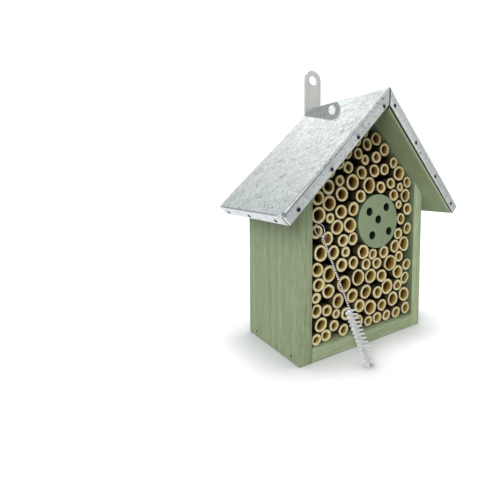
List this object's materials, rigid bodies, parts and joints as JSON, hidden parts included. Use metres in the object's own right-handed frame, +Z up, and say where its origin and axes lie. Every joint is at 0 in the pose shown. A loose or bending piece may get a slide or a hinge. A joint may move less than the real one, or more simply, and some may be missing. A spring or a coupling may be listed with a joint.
{
  "type": "bee hotel",
  "caption": "Small painted timber bee house with a folded metal roof, packed with bamboo tubes and a drilled block, with a hanging tab and a loose cleaning brush.",
  "frame": {"origin": "centre of the floor board's underside, on the surface that the house stands on", "axes": "+Z up, +X to the house's right seen from the front, +Y from the open front to the back"},
  "size_m": [0.2026, 0.1305, 0.2617],
  "materials": {
    "painted_timber": "sage green paint, thin, grain showing",
    "painted_roof_boards": "sage green paint, thin, grain showing",
    "painted_block": "sage green paint on end grain",
    "galvanised_sheet": "galvanised, with a soft crystal pattern",
    "galvanised_tab": "galvanised, dull",
    "bamboo": "cut cane, straw coloured, raw",
    "fixings": "plain steel",
    "brush_wire": "twisted galvanised wire",
    "nylon": "white nylon bristle"
  },
  "bodies": {
    "house": {"left_wall": "painted_timber", "right_wall": "painted_timber", "floor_board": "painted_timber", "back_panel": "painted_timber", "left_roof_board": "painted_roof_boards", "right_roof_board": "painted_roof_boards", "roof_sheet": "galvanised_sheet", "front_nail_left_1": "fixings", "front_nail_left_2": "fixings", "front_nail_left_3": "fixings", "front_nail_left_4": "fixings", "eave_nail_left_1": "fixings", "eave_nail_left_2": "fixings", "eave_nail_left_3": "fixings", "front_nail_right_1": "fixings", "front_nail_right_2": "fixings", "front_nail_right_3": "fixings", "front_nail_right_4": "fixings", "eave_nail_right_1": "fixings", "eave_nail_right_2": "fixings", "eave_nail_right_3": "fixings", "wall_nail_left_1": "fixings", "wall_nail_left_2": "fixings", "wall_nail_right_1": "fixings", "wall_nail_right_2": "fixings", "hanging_tab": "galvanised_tab", "tab_screw_1": "fixings", "tab_screw_2": "fixings", "drilled_block": "painted_block", "tube_bundle_01": "bamboo", "tube_bundle_02": "bamboo", "tube_bundle_03": "bamboo", "tube_bundle_04": "bamboo", "tube_bundle_05": "bamboo", "tube_bundle_06": "bamboo", "tube_bundle_07": "bamboo", "tube_bundle_08": "bamboo", "tube_bundle_09": "bamboo", "tube_bundle_10": "bamboo", "tube_bundle_11": "bamboo", "tube_bundle_12": "bamboo", "tube_bundle_13": "bamboo", "tube_bundle_14": "bamboo", "tube_bundle_15": "bamboo", "tube_bundle_16": "bamboo", "tube_bundle_17": "bamboo", "tube_bundle_18": "bamboo", "tube_bundle_19": "bamboo", "tube_bundle_20": "bamboo", "tube_bundle_21": "bamboo", "tube_bundle_22": "bamboo", "tube_bundle_23": "bamboo", "tube_bundle_24": "bamboo", "tube_bundle_25": "bamboo", "tube_bundle_26": "bamboo", "tube_bundle_27": "bamboo", "tube_bundle_28": "bamboo", "tube_bundle_29": "bamboo"},
    "brush": {"brush_wire": "brush_wire", "brush_bristles": "nylon"}
  },
  "joints": [
    {"name": "brush_away", "type": "slide", "parent": "house", "child": "brush", "axis": [0, -1, 0], "range_m": [0, 0.15]}
  ]
}
